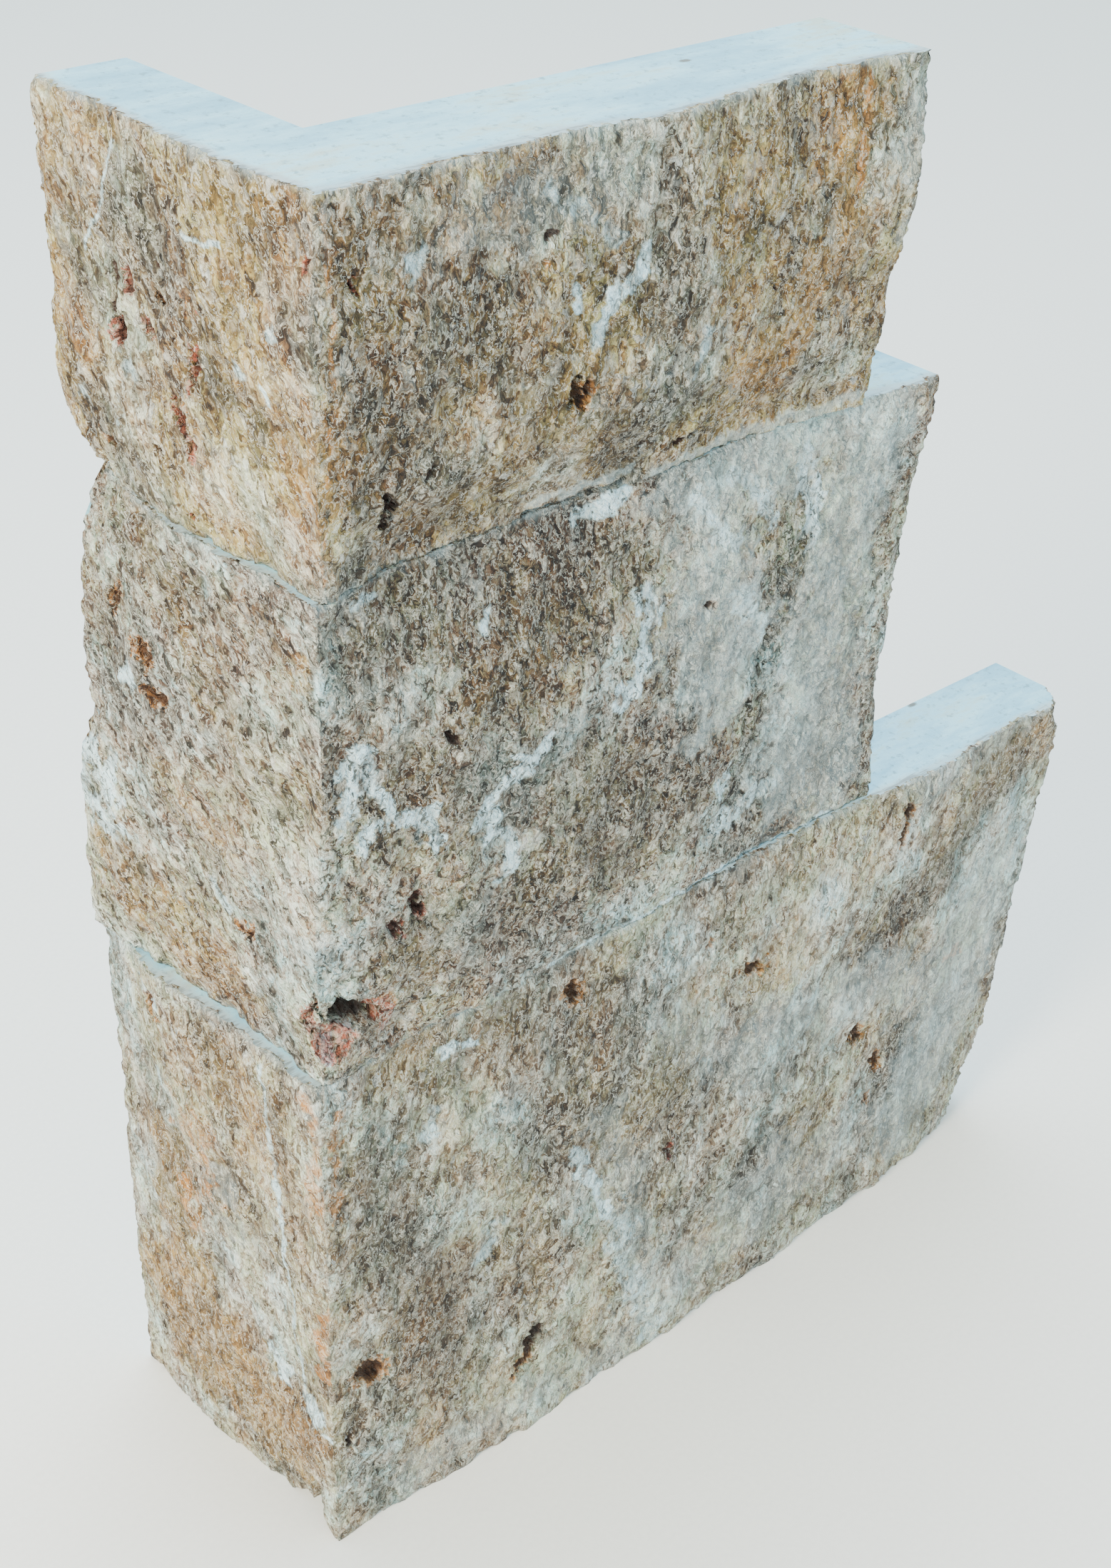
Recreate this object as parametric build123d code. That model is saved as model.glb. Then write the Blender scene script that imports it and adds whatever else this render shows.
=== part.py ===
from build123d import *
import os

# Travertine cladding corner: three L-shaped stones laid bed on bed, millimetres, +Z up.
# The wall corner's foot is the origin. The wall fills +X +Y, the long legs run along +X
# and the short legs along +Y. Backs, beds and leg ends are sawn, the outer faces are split.

# Courses, from the floor up
bottom_height = 100.0
middle_height = 75.0
top_height = 50.0

# Sawn backs, measured from the inner corner to the end of each leg
short_leg = 36.0
bottom_long_leg = 163.5
middle_long_leg = 108.0
top_long_leg = 90.0

# Depth of the sawn blank that a split face is broken out of
blank_depth = 30.0

# How far the split surface is carried past the sawn planes before it is trimmed by them
trim_allowance = 4.0

# A split face is given as depths of stone in front of the sawn back, one row per level.
# Each row is read from the outer corner to the leg's end, and levels go from bed to bed.
level_shares = (0.0, 0.3, 0.65, 1.0)
long_shares = (0.0, 0.15, 0.35, 0.55, 0.78, 1.0)
short_shares = (0.0, 0.3, 0.65, 1.0)

bottom_long_depths = (
    (20.2, 20.8, 21.2, 20.6, 18.6, 15.0),
    (20.6, 20.0, 20.8, 20.2, 17.2, 14.0),
    (20.8, 19.6, 20.2, 19.2, 17.6, 15.0),
    (19.4, 17.8, 18.0, 16.8, 18.4, 17.0),
)
bottom_short_depths = (
    (13.4, 12.2, 14.2, 13.0),
    (14.6, 14.0, 14.8, 13.6),
    (15.2, 14.8, 15.0, 13.8),
    (15.6, 16.1, 17.6, 14.6),
)
middle_long_depths = (
    (19.4, 18.3, 18.6, 17.8, 15.8, 16.2),
    (19.8, 20.4, 19.8, 18.2, 15.6, 14.0),
    (20.2, 20.8, 20.2, 17.6, 16.0, 14.6),
    (18.8, 15.8, 14.6, 16.4, 14.8, 16.6),
)
middle_short_depths = (
    (14.4, 13.6, 14.6, 16.4),
    (15.6, 14.6, 15.4, 16.6),
    (14.4, 15.0, 15.8, 13.8),
    (13.7, 14.0, 14.2, 11.6),
)
top_long_depths = (
    (18.8, 15.6, 14.8, 16.6, 15.4, 17.0),
    (20.4, 20.4, 20.4, 20.8, 19.0, 18.6),
    (20.6, 21.0, 21.2, 21.4, 20.0, 21.2),
    (20.0, 20.0, 19.4, 21.2, 18.6, 20.0),
)
top_short_depths = (
    (12.6, 12.5, 13.3, 11.6),
    (14.4, 14.6, 14.2, 14.0),
    (15.2, 15.6, 14.4, 13.8),
    (14.2, 15.4, 14.2, 14.2),
)

# Solution hollow that opens at the middle stone's outer corner: centre height above that
# stone's bed, centre in plan, then half sizes along the long leg, across it and upward
hollow_height = 11.3
hollow_x = -8.7
hollow_y = -19.8
hollow_half_length = 6.0
hollow_half_depth = 5.0
hollow_half_height = 3.0
hollow_tilt = 31.0

# Open pit low on the top stone's short leg: same order of sizes
pit_height = 13.0
pit_x = -15.0
pit_y = 5.0
pit_half_length = 1.2
pit_half_depth = 3.0
pit_half_height = 2.6


def split_outline(long_leg, long_depths, short_depths, level):
    """Plan outline of the rough stone at one level, wall side left oversize."""
    corner = (-short_depths[0], -long_depths[0])
    points = [(long_leg + trim_allowance, trim_allowance)]
    points.append((trim_allowance, trim_allowance))
    points.append((trim_allowance, short_leg + trim_allowance))
    points.append((-short_depths[-1], short_leg + trim_allowance))
    for share, depth in reversed(list(zip(short_shares, short_depths))[1:]):
        points.append((-depth, corner[1] + share * (short_leg - corner[1])))
    points.append(corner)
    for share, depth in list(zip(long_shares, long_depths))[1:]:
        points.append((corner[0] + share * (long_leg - corner[0]), -depth))
    points.append((long_leg + trim_allowance, -long_depths[-1]))
    return Plane.XY.offset(level) * Polygon(*points, align=None)


def course_stone(base, height, long_leg, long_depths, short_depths):
    """One stone: the rough split body trimmed by its sawn L-shaped blank."""
    levels = [base + share * height for share in level_shares]
    levels[0] -= trim_allowance
    levels[-1] += trim_allowance
    outlines = [
        split_outline(long_leg, long_row, short_row, level)
        for level, long_row, short_row in zip(levels, long_depths, short_depths)
    ]
    rough = loft(outlines, ruled=True)
    plan = Polygon(
        (0, 0),
        (0, short_leg),
        (-blank_depth, short_leg),
        (-blank_depth, -blank_depth),
        (long_leg, -blank_depth),
        (long_leg, 0),
        align=None,
    )
    blank = extrude(Plane.XY.offset(base) * plan, height)
    return rough & blank


def open_pocket(x, y, z, half_x, half_y, half_z, tilt=0.0):
    """Rounded pocket whose half sizes differ along the three axes."""
    pocket = scale(Sphere(1.0), by=(half_x, half_y, half_z))
    return Pos(x, y, z) * Rot(0, tilt, 0) * pocket


bottom_base = 0.0
middle_base = bottom_base + bottom_height
top_base = middle_base + middle_height

bottom_course_stone = course_stone(
    bottom_base, bottom_height, bottom_long_leg, bottom_long_depths, bottom_short_depths
)
middle_course_stone = course_stone(
    middle_base, middle_height, middle_long_leg, middle_long_depths, middle_short_depths
) - open_pocket(
    hollow_x,
    hollow_y,
    middle_base + hollow_height,
    hollow_half_length,
    hollow_half_depth,
    hollow_half_height,
    hollow_tilt,
)
top_course_stone = course_stone(
    top_base, top_height, top_long_leg, top_long_depths, top_short_depths
) - open_pocket(
    pit_x, pit_y, top_base + pit_height, pit_half_depth, pit_half_length, pit_half_height
)

stones = {
    "bottom_course_stone": bottom_course_stone,
    "middle_course_stone": middle_course_stone,
    "top_course_stone": top_course_stone,
}

os.makedirs("parts", exist_ok=True)
for name, stone in stones.items():
    solid = stone.solids()[0] if len(stone.solids()) == 1 else stone
    solid.label = name
    export_step(solid, f"parts/{name}.step")
    print(name, round(solid.volume / 1000, 1), "cm3", len(stone.solids()), "solid", stone.is_valid)
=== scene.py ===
"""Travertine cladding corner: the looks of three glued courses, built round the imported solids."""

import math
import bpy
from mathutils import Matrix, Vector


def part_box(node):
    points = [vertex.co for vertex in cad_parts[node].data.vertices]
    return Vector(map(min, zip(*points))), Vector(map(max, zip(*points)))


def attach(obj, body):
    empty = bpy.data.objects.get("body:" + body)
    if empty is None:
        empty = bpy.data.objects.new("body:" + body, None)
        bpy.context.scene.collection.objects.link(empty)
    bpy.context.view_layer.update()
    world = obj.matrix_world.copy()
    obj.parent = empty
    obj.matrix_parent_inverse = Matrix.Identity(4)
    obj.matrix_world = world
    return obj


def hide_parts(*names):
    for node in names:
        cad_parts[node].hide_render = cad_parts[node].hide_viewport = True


bl_info = {
    "name": "Travertine cladding corner",
    "version": (1, 0, 0),
    "blender": (4, 5, 0),
    "location": "3D View > Sidebar > Cladding",
    "description": "Builds a split-face travertine corner unit of three courses",
    "category": "Add Mesh",
}

import bmesh
import bpy
import numpy as np
from bpy.props import FloatProperty, FloatVectorProperty, PointerProperty
from mathutils import Matrix, Vector, noise

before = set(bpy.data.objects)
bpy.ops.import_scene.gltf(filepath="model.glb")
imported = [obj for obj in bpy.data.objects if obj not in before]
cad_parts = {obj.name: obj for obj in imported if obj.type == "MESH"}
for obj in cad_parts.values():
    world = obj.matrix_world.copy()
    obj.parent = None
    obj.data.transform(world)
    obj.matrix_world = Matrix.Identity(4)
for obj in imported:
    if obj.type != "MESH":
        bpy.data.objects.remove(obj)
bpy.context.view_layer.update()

MM = 0.001

# In millimetres: the depth of the blank that a stone is shaped from, the cell that it is first
# cut into, the distance under which two places are one, the radius of the narrowest pit that
# the mesh can show, and the most area of a finely cut face.
BLANK_DEPTH = 20.0
CELL = 10.0
HAIR = 0.01
NARROWEST_PIT = 0.42
FINE_AREA = 1.0

# Camera fitted to the photo's straight sawn edges: focal length and sensor in millimetres, clip
# and place in metres, turns in degrees.
LENS = {
    "lens": 50.90,
    "sensor_width": 36.0,
    "shift_x": 0.0370,
    "shift_y": 0.1583,
    "clip_start": 0.01,
}
CAMERA_PLACE = (-0.163, -0.21279, 0.30192)
CAMERA_TURN = (51.903, -1.998, -41.717)

# Depths of stone in front of the sawn backs, as the solids have them: one row per level,
# from bed to bed, each row from the outer corner to the leg's end.
LEVEL_SHARES = (0.0, 0.3, 0.65, 1.0)
LONG_SHARES = (0.0, 0.15, 0.35, 0.55, 0.78, 1.0)
SHORT_SHARES = (0.0, 0.3, 0.65, 1.0)
LONG_DEPTHS = {
    "bottom_course_stone": (
        (20.2, 20.8, 21.2, 20.6, 18.6, 15.0),
        (20.6, 20.0, 20.8, 20.2, 17.2, 14.0),
        (20.8, 19.6, 20.2, 19.2, 17.6, 15.0),
        (19.4, 17.8, 18.0, 16.8, 18.4, 17.0),
    ),
    "middle_course_stone": (
        (19.4, 18.3, 18.6, 17.8, 15.8, 16.2),
        (19.8, 20.4, 19.8, 18.2, 15.6, 14.0),
        (20.2, 20.8, 20.2, 17.6, 16.0, 14.6),
        (18.8, 15.8, 14.6, 16.4, 14.8, 16.6),
    ),
    "top_course_stone": (
        (18.8, 15.6, 14.8, 16.6, 15.4, 17.0),
        (20.4, 20.4, 20.4, 20.8, 19.0, 18.6),
        (20.6, 21.0, 21.2, 21.4, 20.0, 21.2),
        (20.0, 20.0, 19.4, 21.2, 18.6, 20.0),
    ),
}
SHORT_DEPTHS = {
    "bottom_course_stone": (
        (13.4, 12.2, 14.2, 13.0),
        (14.6, 14.0, 14.8, 13.6),
        (15.2, 14.8, 15.0, 13.8),
        (15.6, 16.1, 17.6, 14.6),
    ),
    "middle_course_stone": (
        (14.4, 13.6, 14.6, 16.4),
        (15.6, 14.6, 15.4, 16.6),
        (14.4, 15.0, 15.8, 13.8),
        (13.7, 14.0, 14.2, 11.6),
    ),
    "top_course_stone": (
        (12.6, 12.5, 13.3, 11.6),
        (14.4, 14.6, 14.2, 14.0),
        (15.2, 15.6, 14.4, 13.8),
        (14.2, 15.4, 14.2, 14.2),
    ),
}

# Corners that broke away: each plane is given by three points in millimetres, and the stone
# in front of it is gone. The last point of each row lies inside the stone.
BREAKS = {
    "bottom_course_stone": (
        ((163.5, -13.5, 24), (163.5, -7.5, 0), (148, -19.5, 0), (80, -10, 50)),
        ((163.6, -13, 100), (156, -20, 100), (163.8, -17.4, 88), (80, -10, 50)),
    ),
    "middle_course_stone": (
        ((-8, 36, 174), (-14, 36, 161), (-14.2, 14, 175), (20, -10, 140)),
    ),
    "top_course_stone": (
        ((-14.8, 36, 184), (-8.8, 36, 175), (-14.2, 14, 175), (20, -10, 200)),
    ),
}

# Marks read off each split face. A row is the face (L long, S short), the kind, the radius in
# millimetres, the amount and the run of points, along the leg and up. The amount of a pit is
# its depth in millimetres, and that of a tone or stain its strength.
MARKS = {
    "top_course_stone": (
        ("L", "umber", 9, 0.7, [(-7.3, 219.2), (-5.3, 206.6), (-3.1, 192.1), (6.2, 182.2)]),
        ("L", "umber", 8, 0.6, [(7.7, 208.8), (22.4, 193), (34.6, 182.2)]),
        ("L", "pale", 6, 0.35, [(5.3, 217.6), (20.8, 217.9), (34.9, 218.7)]),
        ("L", "ochre", 7, 0.9, [(76.3, 215.1), (77.3, 202.7), (70.3, 193.4), (62.6, 187.2)]),
        ("L", "pale", 4, 0.5, [(87.9, 218.7), (90.7, 203.1)]),
        ("S", "umber", 6, 0.4, [(16.7, 210.8), (5.6, 201.9), (-4.1, 197)]),
        ("S", "ochre", 6, 0.6, [(29.5, 218.6), (28.1, 206.9), (28.3, 194)]),
        ("S", "pink", 6, 0.7, [(-17.4, 220.1), (-14.2, 205.4), (-16.3, 186.9)]),
        ("S", "umber", 5, 0.5, [(18.9, 217.2), (6.6, 207.9), (-5.5, 197.7)]),
        ("S", "umber", 2.5, 0.35, [(31.9, 193.2), (23.1, 185.5), (7.5, 182.2)]),
        ("L", "pale", 1.1, 0.95, [(46.8, 175.8), (61.6, 176), (76.5, 176.2), (89, 176.6)]),
        ("L", "crease", 0.5, 1.4, [(24.0, 175.2), (42.0, 175.5)]),
        ("L", "pale", 0.9, 1.0, [(24.0, 176.8), (42.0, 177.2)]),
        ("S", "red", 1.1, 2.4, [(20.3, 199.3), (21, 197.4)]),
        ("S", "red", 0.8, 1.8, [(16.9, 206.4), (17.2, 204.3)]),
        ("S", "dark", 0.27, 1, [(19.9, 207), (19.6, 205), (20.9, 200.7)]),
        ("S", "red", 0.9, 1.6, [(13.7, 200.3), (13.4, 199.9)]),
        ("S", "dark", 0.3, 1.2, [(10.8, 210.1), (9.6, 209)]),
        ("S", "rust", 0.47, 1.4, [(10.9, 205.1), (9.6, 205.8), (8.6, 205.3)]),
        ("S", "rust", 0.3, 1, [(3.4, 207.8), (3.6, 205.7)]),
        ("S", "red_stain", 0.41, 0.8, [(1.1, 206.5)]),
        ("S", "dark", 0.31, 0.9, [(6.8, 201.3), (7.5, 200.5)]),
        ("S", "red", 0.85, 2.8, [(2.7, 201.1), (3, 199.2), (4.5, 196)]),
        ("S", "dark", 0.29, 0.9, [(10, 194.5), (8.9, 193.4)]),
        ("S", "red", 1.1, 3.2, [(8.3, 192.1), (7.3, 190.8), (6.5, 189.6)]),
        ("S", "rust", 0.74, 1.6, [(6.1, 193.2)]),
        ("S", "dark", 0.5, 1.4, [(6.6, 188.6)]),
        ("S", "dark", 0.67, 1.6, [(13, 185.3), (12.6, 184.9)]),
        ("S", "rust", 0.81, 1.2, [(25.5, 181.9), (24.2, 181.8)]),
        ("S", "red", 0.31, 1.6, [(-19.1, 217.9), (-18.7, 216.6)]),
        ("S", "red", 0.46, 1.2, [(7, 177.5)]),
        ("S", "dark", 0.21, 0.7, [(-17.8, 212.2)]),
        ("S", "white", 0.37, 0.7,
         [(18, 221.6), (20, 216.9), (22, 212.3), (24.6, 209.3), (26.7, 206.7)]),
        ("S", "white", 1, 1, [(-13.7, 208.5), (-13.8, 207.9)]),
        ("S", "white", 0.4, 0.9, [(2.8, 215), (-0.9, 215), (-4.4, 215.8)]),
        ("S", "white", 0.81, 0.6, [(-6.1, 201.6), (-7.2, 201.4)]),
        ("S", "white", 0.33, 0.9, [(-10.9, 201.2), (-11.7, 200.1), (-12.2, 199)]),
        ("S", "white", 1.97, 0.6, [(19, 194.6), (17.9, 193.4)]),
        ("S", "white", 1.36, 0.9, [(29.8, 186.9)]),
        ("S", "white", 0.78, 0.6, [(21.4, 185.4)]),
        ("S", "ochre", 5.66, 0.6, [(29.6, 222.9), (27.6, 210.7), (30.6, 199.1)]),
        ("S", "ochre", 3.14, 0.5, [(5.3, 189.6), (-4.8, 185.7), (-11.8, 181.8)]),
        ("S", "pink", 5.17, 0.8, [(-15.2, 222), (-15.9, 207.8), (-16.6, 189.1), (-17.3, 177.3)]),
        ("S", "grey", 3.02, 0.6, [(6.6, 207.9), (1.3, 202.6), (-8.2, 195.1), (-12.3, 192.9)]),
        ("S", "grey", 2.63, 0.45, [(18.3, 222.3), (18.2, 210.6)]),
        ("S", "umber", 2.55, 0.5, [(-1.1, 196.3), (-9.6, 194.7)]),
        ("S", "rust_stain", 0.55, 0.4,
         [(-22.4, 225), (-21.9, 213.7), (-22.2, 203.2), (-21.2, 190.8), (-21.3, 177.1)]),
        ("L", "rust_stain", 0.68, 0.5,
         [(-12.2, 223.6), (-12.5, 212.3), (-12.3, 201.5), (-13, 189.4), (-13, 175.5)]),
        ("L", "red", 0.57, 2.4, [(-9, 214.8), (-8.8, 213.9)]),
        ("L", "grey_pit", 0.71, 2, [(-3.1, 187.1), (-2.1, 185.3)]),
        ("L", "grey_pit", 0.67, 2, [(-1.2, 185.8), (-1.7, 183.7)]),
        ("L", "grey_pit", 0.56, 1.6, [(-3.3, 184.5), (-2.5, 182.6)]),
        ("L", "dark", 0.28, 1.4, [(3.5, 189.3), (2.4, 187.8)]),
        ("L", "dark", 0.58, 3, [(27.1, 195.4), (26.4, 193.4), (25.5, 192)]),
        ("L", "rust", 1.22, 2, [(27.5, 194.1), (28.4, 192.3)]),
        ("L", "dark", 0.48, 2, [(43.1, 192.3)]),
        ("L", "dark", 0.21, 1, [(21.3, 213.8), (22.7, 213.9)]),
        ("L", "dark", 0.3, 1.2, [(49.7, 179.4), (51.6, 179.6), (54.6, 180.4)]),
        ("L", "dark", 0.27, 1, [(42.1, 181.3), (43.7, 181.5)]),
        ("L", "dark", 0.37, 1.2, [(64.7, 198.2)]),
        ("L", "rust_stain", 0.31, 0.7, [(20.9, 211), (21.1, 209.9)]),
        ("L", "white", 1.42, 0.9, [(-0.7, 215.6), (0.8, 214.4)]),
        ("L", "white", 1.43, 0.85, [(36, 207.2), (33.7, 205), (29, 200.2)]),
        ("L", "white", 0.94, 0.6, [(25.4, 206.1), (25.3, 204.1)]),
        ("L", "white", 1.32, 0.45, [(21.9, 219.2), (29.2, 214.7), (33.3, 212)]),
        ("L", "white", 1.21, 0.4, [(50.8, 197.2), (48.3, 190.6)]),
        ("L", "ochre", 4.25, 0.8,
         [(77.8, 223), (78.2, 209.2), (72.9, 202.6), (69.4, 191.6), (68.6, 181.6)]),
        ("L", "rust_stain", 1.3, 0.75, [(79.1, 223.7), (78.1, 216.6), (78.4, 209)]),
        ("L", "ochre", 2.84, 0.6, [(-10.3, 221.3), (-3.2, 218.4), (7.4, 218.8), (13.9, 219.2)]),
        ("L", "ochre", 2.78, 0.55, [(3.4, 201.1), (8.2, 193.8), (6, 189.7)]),
        ("L", "ochre", 2.49, 0.5, [(51.4, 207.8), (59.1, 209.9)]),
        ("L", "umber", 4.05, 0.55, [(-7.4, 197.7), (-0.8, 190.6), (10.7, 188.5)]),
        ("L", "umber", 4.11, 0.5, [(20.4, 185.9), (35.4, 186.9), (51.3, 187.9)]),
        ("L", "umber", 3.01, 0.45, [(-1, 206.5), (7.8, 206.2), (16.8, 206.8)]),
        ("L", "grey", 3.91, 0.6, [(25.8, 212.7), (39.2, 201.1), (49.5, 201.7), (59.2, 209)]),
        ("L", "grey", 3.12, 0.6, [(30.2, 188.2), (40.5, 188.5), (55.9, 184.8)]),
    ),
    "middle_course_stone": (
        ("L", "umber", 11, 0.8, [(-5.3, 168.1), (9, 167.5), (24.1, 166.9), (37.4, 166)]),
        ("L", "umber", 11, 0.8, [(-7.7, 150.2), (9.8, 141.3), (29, 133.9), (43.9, 128.2)]),
        ("L", "umber", 9, 0.7, [(-0.1, 118.1), (21.7, 115.9), (45, 117.6), (60.1, 120.6)]),
        ("L", "pink", 8, 0.7, [(46.3, 172.9), (58, 169.6), (69.3, 173)]),
        ("L", "pink", 6, 0.5, [(61.5, 134), (59.9, 122), (45.2, 144.5)]),
        ("S", "umber", 8, 0.6, [(17.9, 172.2), (6.1, 160.4), (-5.7, 146.2)]),
        ("S", "ochre", 8, 0.7, [(29.7, 116.8), (17.4, 110.5), (1.6, 106.4)]),
        ("L", "pale", 9, 0.6, [(96.6, 170.3), (93.1, 148), (95, 122.1), (97.3, 105)]),
        ("L", "pale", 6, 0.6, [(59, 162.8), (53.5, 148.7), (60.6, 140.4)]),
        ("L", "grey", 3.2, 0.85, [(80.3, 163.5), (77.9, 150.3), (75.8, 133.9), (71.7, 113.4)]),
        ("S", "umber", 3, 0.6, [(19.5, 160.4), (15.6, 157.8), (12.5, 154.7)]),
        ("S", "umber", 3.5, 0.6, [(-4.1, 176), (-8.4, 171.8), (-11.1, 168)]),
        ("S", "ochre", 2.2, 0.75, [(11.4, 166.9), (9.3, 162.5), (7.7, 159)]),
        ("S", "ochre", 2.5, 0.75, [(-14, 166.2), (-16, 162)]),
        ("S", "ochre", 2.5, 0.7, [(6.9, 154), (3.9, 149.8)]),
        ("S", "grey", 3, 0.6, [(25.1, 169.8), (22.4, 164.6)]),
        ("S", "umber", 2, 0.7, [(-17.1, 172.4), (-18.2, 160.9), (-17.8, 148.1)]),
        ("L", "white", 1.3, 0.8, [(-7.7, 153.4), (-5.3, 146), (-0.3, 139.6)]),
        ("L", "white", 0.45, 0.85, [(30, 100.5), (50, 100.4), (72, 100.5), (98, 100.4)]),
        ("L", "pink", 1.1, 1, [(24.3, 174), (32.6, 174.5), (41.7, 174.4)]),
        ("L", "red_stain", 1.5, 0.95, [(-5.3, 112), (-4, 109.8), (-2.4, 106.8)]),
        ("L", "rust_stain", 1.4, 0.7, [(-3.3, 111.4), (-2, 108.2)]),
        ("L", "white", 0.9, 1, [(-14.1, 107.7), (-13.2, 105.1)]),
        ("L", "umber", 2.2, 0.8, [(-7.9, 106.6), (-2.6, 102)]),
        ("S", "red", 0.75, 3.6, [(-15.7, 111), (-17.4, 113.2), (-18.9, 115.4)]),
        ("S", "rust", 1.15, 2.0, [(28.3, 158.7), (26.8, 158.3), (25, 160.1)]),
        ("S", "rust", 0.52, 1.2, [(26.6, 158.4), (27, 156.7)]),
        ("S", "rust", 1.7, 2.4, [(18.5, 154.3), (17.1, 154.1)]),
        ("S", "rust", 0.95, 1.8, [(18.1, 148.5), (15.3, 149.1), (13.3, 148.9)]),
        ("S", "rust", 0.96, 1.4, [(-1.8, 118.2), (-3.9, 118.7)]),
        ("S", "white", 2.17, 0.7, [(23.1, 150.2), (22.2, 148.8)]),
        ("S", "white", 4.4, 0.95, [(33.6, 130.3), (31.4, 127.7), (29.1, 125.1)]),
        ("S", "white", 2.13, 0.6, [(37.7, 128.3), (36.4, 124)]),
        ("S", "white", 1.27, 0.5, [(4.3, 123), (1.7, 120.7)]),
        ("S", "grey", 5.52, 0.5, [(30.2, 170), (28.7, 155.6), (29.1, 139.5)]),
        ("S", "grey", 4.71, 0.5, [(-0.6, 120.8), (-11.9, 112.2), (-14.9, 103.7)]),
        ("S", "umber", 3.42, 0.5, [(21.6, 141.8), (12.4, 129.7), (-0.8, 123.3)]),
        ("S", "umber", 2.59, 0.45, [(12.6, 162.2), (2.2, 151.7), (-11.5, 141.7)]),
        ("S", "ochre", 3.69, 0.55, [(24.4, 175.2), (16.7, 169.9), (7.5, 165.3)]),
        ("S", "ochre", 4.23, 0.5, [(30.1, 117), (19.7, 109.6), (9.1, 106.4)]),
        ("S", "pink", 3.65, 0.5, [(-11.3, 171), (-13.7, 158.9), (-12.1, 138.6), (-15.5, 124.1)]),
        ("L", "white", 1.79, 0.95, [(-9.4, 153.6), (-9.3, 148.2), (-10.5, 143.2)]),
        ("L", "white", 1.65, 0.85, [(-7.2, 138.4), (-6.1, 141.7)]),
        ("L", "white", 1.73, 0.9, [(0.5, 141), (2.8, 138.1), (4.6, 135.4)]),
        ("L", "white", 1.16, 1, [(25.9, 143.7), (25, 140.8), (19.4, 139.7), (14.4, 138.1)]),
        ("L", "white", 0.67, 0.8, [(19.3, 142.7), (22.6, 140.8)]),
        ("L", "white", 2.2, 0.8, [(14.5, 136.7), (17.7, 130.7), (19.3, 125.1)]),
        ("L", "white", 2.23, 0.95, [(48.4, 158.3), (46.1, 151.9), (45.5, 147.5), (40.8, 142.7)]),
        ("L", "white", 1.31, 0.7, [(56.2, 169.8), (59.8, 164.4), (65, 159.6)]),
        ("L", "white", 0.97, 0.9, [(33.7, 172.8), (39.1, 172.3), (42.8, 173.9)]),
        ("L", "white", 0.9, 0.7, [(-6.7, 173.1), (-2.2, 172.8)]),
        ("L", "white", 0.86, 0.6, [(16.2, 164.6), (15, 162.7)]),
        ("L", "white", 2.33, 0.5, [(67.6, 109.2), (75.6, 111.4), (82.1, 112.9)]),
        ("L", "white", 1.61, 0.6, [(69.2, 120.5), (68.3, 115.6)]),
        ("L", "white", 2.07, 0.75, [(80.2, 169.8), (83.2, 162.3), (82.9, 155.4)]),
        ("L", "white", 1.6, 0.6, [(64, 170), (70, 166), (74, 160)]),
        ("L", "white", 1.8, 0.55, [(66, 152), (72, 147), (74, 140)]),
        ("L", "pale", 8.15, 0.75, [(57.7, 169.4), (72.1, 171.9), (95.1, 174.8)]),
        ("L", "pale", 8.62, 0.8, [(60.8, 157.4), (69, 143.2), (62.3, 135.7)]),
        ("L", "pale", 9.92, 0.85, [(95, 168.2), (90.8, 148.3), (87.7, 129.4), (85.6, 113)]),
        ("L", "pale", 2.79, 0.6, [(48.8, 171.8), (54.4, 172.4), (60.1, 173)]),
        ("L", "ochre", 5, 0.35, [(90.5, 146), (92, 131), (86, 119)]),
        ("L", "umber", 5, 0.35, [(92, 140), (90, 126)]),
        ("L", "grey", 2.6, 0.9, [(84.6, 157), (80.8, 147), (78.6, 136), (75.4, 124), (74, 114)]),
        ("L", "crease", 0.76, 0.6,
         [(83.8, 159.9), (78.7, 152), (75.9, 139.9), (72.7, 132.1), (72.1, 121.9)]),
        ("L", "rust", 0.8, 1.4, [(59.9, 152.4), (60.8, 151.7)]),
        ("L", "umber", 3.51, 1, [(30, 170.1), (36.9, 167.4), (44.5, 160.2)]),
        ("L", "umber", 8.46, 0.45, [(5, 164.3), (18.2, 149), (33.4, 125.6), (28.3, 115)]),
        ("L", "umber", 6, 0.4, [(47, 136.3), (57.4, 125), (49.2, 115.3)]),
        ("L", "ochre", 3.22, 0.45, [(10.2, 156.2), (20.4, 155.9), (28.8, 149.8)]),
        ("L", "ochre", 4.62, 0.4, [(39.8, 135.3), (53.7, 117.5)]),
        ("L", "ochre", 3.55, 0.4, [(0.7, 120.9), (11.7, 108.3)]),
        ("L", "pink", 1.95, 0.6, [(-12.4, 172), (-9.1, 168.9), (-4.5, 169.4)]),
        ("L", "red", 1.05, 1.8, [(1.7, 126.5), (2.6, 123.5)]),
        ("L", "red", 0.9, 1.4, [(-1.9, 123.8), (-0.9, 122.3)]),
        ("L", "dark", 0.61, 1.6, [(6.8, 150.9), (8.1, 149.8)]),
        ("L", "dark", 0.34, 1, [(-10.9, 111.3), (-7.1, 112)]),
        ("S", "red_stain", 1.25, 0.9, [(-16.7, 110), (-19.1, 108.7)]),
    ),
    "bottom_course_stone": (
        ("L", "umber", 10, 0.6, [(-5.3, 82.3), (0.5, 54.9), (13.4, 26.8)]),
        ("L", "umber", 9, 0.6, [(11.3, 93), (29, 91.1), (48.4, 83.1)]),
        ("L", "grey", 9, 0.5, [(21, 70.6), (40.2, 66.2), (61.9, 67.3)]),
        ("L", "umber", 7, 0.8, [(142.1, 93.3), (132.7, 73.8), (116.4, 64.9)]),
        ("L", "umber", 6, 0.6, [(144.9, 98.3), (152.8, 99.9)]),
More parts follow.
